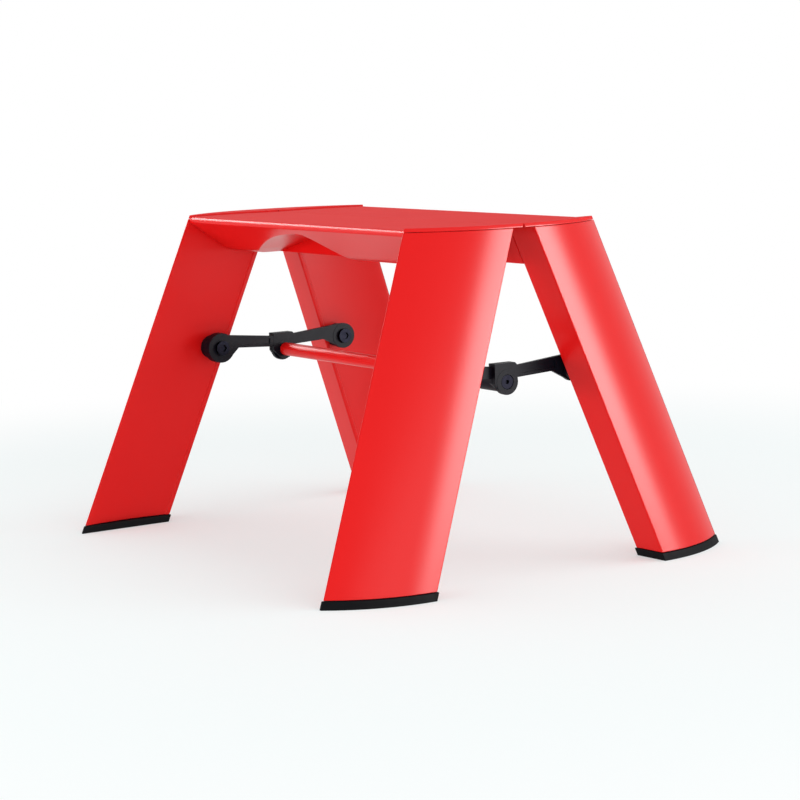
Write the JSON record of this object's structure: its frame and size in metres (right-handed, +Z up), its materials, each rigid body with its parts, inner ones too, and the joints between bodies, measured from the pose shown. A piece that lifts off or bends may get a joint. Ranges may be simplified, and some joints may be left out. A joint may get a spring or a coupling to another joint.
{
  "type": "folding step stool",
  "caption": "Low folding A-frame step stool with splayed hollow wing-section legs, a split hinged tread with finger arches, and jointed side stays joined by a lift bar.",
  "frame": {"origin": "on the floor under the middle of the open stool's tread", "axes": "+X to the right along the hinge as seen from the front half, +Y from the front half to the rear half, +Z up"},
  "size_m": [0.385, 0.3254, 0.23],
  "materials": {
    "red_paint": "glossy red coating on aluminium",
    "black_plastic": "satin black moulded plastic",
    "black_rubber": "matt black rubber",
    "cast_metal": "plain aluminium",
    "plated_steel": "bright zinc-plated steel",
    "dark_steel": "blackened steel"
  },
  "bodies": {
    "front_frame": {"front_tread": "red_paint", "hinge_front_leaf": "cast_metal", "hinge_front_screw_1": "plated_steel", "hinge_front_screw_2": "plated_steel", "hinge_front_screw_3": "plated_steel", "front_left_leg": "red_paint", "front_left_cap": "red_paint", "front_left_foot": "black_rubber", "front_left_corner_block": "cast_metal", "front_left_frame_screw_1": "plated_steel", "front_left_frame_screw_2": "plated_steel", "front_left_pivot_seat": "black_plastic", "front_left_pivot_screw": "dark_steel", "front_left_pivot_nut": "plated_steel", "front_right_leg": "red_paint", "front_right_cap": "red_paint", "front_right_foot": "black_rubber", "front_right_corner_block": "cast_metal", "front_right_frame_screw_1": "plated_steel", "front_right_frame_screw_2": "plated_steel", "front_right_pivot_seat": "black_plastic", "front_right_pivot_screw": "dark_steel", "front_right_pivot_nut": "plated_steel", "hinge_pin": "plated_steel"},
    "rear_frame": {"rear_tread": "red_paint", "hinge_rear_leaf": "cast_metal", "hinge_rear_screw_1": "plated_steel", "hinge_rear_screw_2": "plated_steel", "hinge_rear_screw_3": "plated_steel", "rear_left_leg": "red_paint", "rear_left_cap": "red_paint", "rear_left_foot": "black_rubber", "rear_left_corner_block": "cast_metal", "rear_left_frame_screw_1": "plated_steel", "rear_left_frame_screw_2": "plated_steel", "rear_left_pivot_seat": "black_plastic", "rear_left_pivot_screw": "dark_steel", "rear_left_pivot_nut": "plated_steel", "rear_right_leg": "red_paint", "rear_right_cap": "red_paint", "rear_right_foot": "black_rubber", "rear_right_corner_block": "cast_metal", "rear_right_frame_screw_1": "plated_steel", "rear_right_frame_screw_2": "plated_steel", "rear_right_pivot_seat": "black_plastic", "rear_right_pivot_screw": "dark_steel", "rear_right_pivot_nut": "plated_steel"},
    "front_stays": {"left_front_stay": "black_plastic", "right_front_stay": "black_plastic", "release_bar": "red_paint", "bar_collar": "black_plastic"},
    "left_rear_stay": {"left_rear_stay": "black_plastic", "left_knuckle_pin": "dark_steel"},
    "right_rear_stay": {"right_rear_stay": "black_plastic", "right_knuckle_pin": "dark_steel"}
  },
  "joints": [
    {"name": "fold", "type": "hinge", "parent": "front_frame", "child": "rear_frame", "pos_m": [0, 0, 0.2218], "axis": [-1, 0, 0], "range_deg": [0, 41]},
    {"name": "front_stay_pivot", "type": "hinge", "parent": "front_frame", "child": "front_stays", "pos_m": [0, -0.05488, 0.1304], "axis": [1, 0, 0], "range_deg": [0, 54.4]},
    {"name": "left_rear_stay_pivot", "type": "hinge", "parent": "rear_frame", "child": "left_rear_stay", "pos_m": [0, 0.05488, 0.1304], "axis": [-1, 0, 0], "range_deg": [0, 54.4]},
    {"name": "right_rear_stay_pivot", "type": "hinge", "parent": "rear_frame", "child": "right_rear_stay", "pos_m": [0, 0.05488, 0.1304], "axis": [-1, 0, 0], "range_deg": [0, 54.4]}
  ],
  "couplings": [
    {"joint": "front_stay_pivot", "follows": "fold", "ratio": 1.3247},
    {"joint": "left_rear_stay_pivot", "follows": "fold", "ratio": 1.3247},
    {"joint": "right_rear_stay_pivot", "follows": "fold", "ratio": 1.3247}
  ]
}
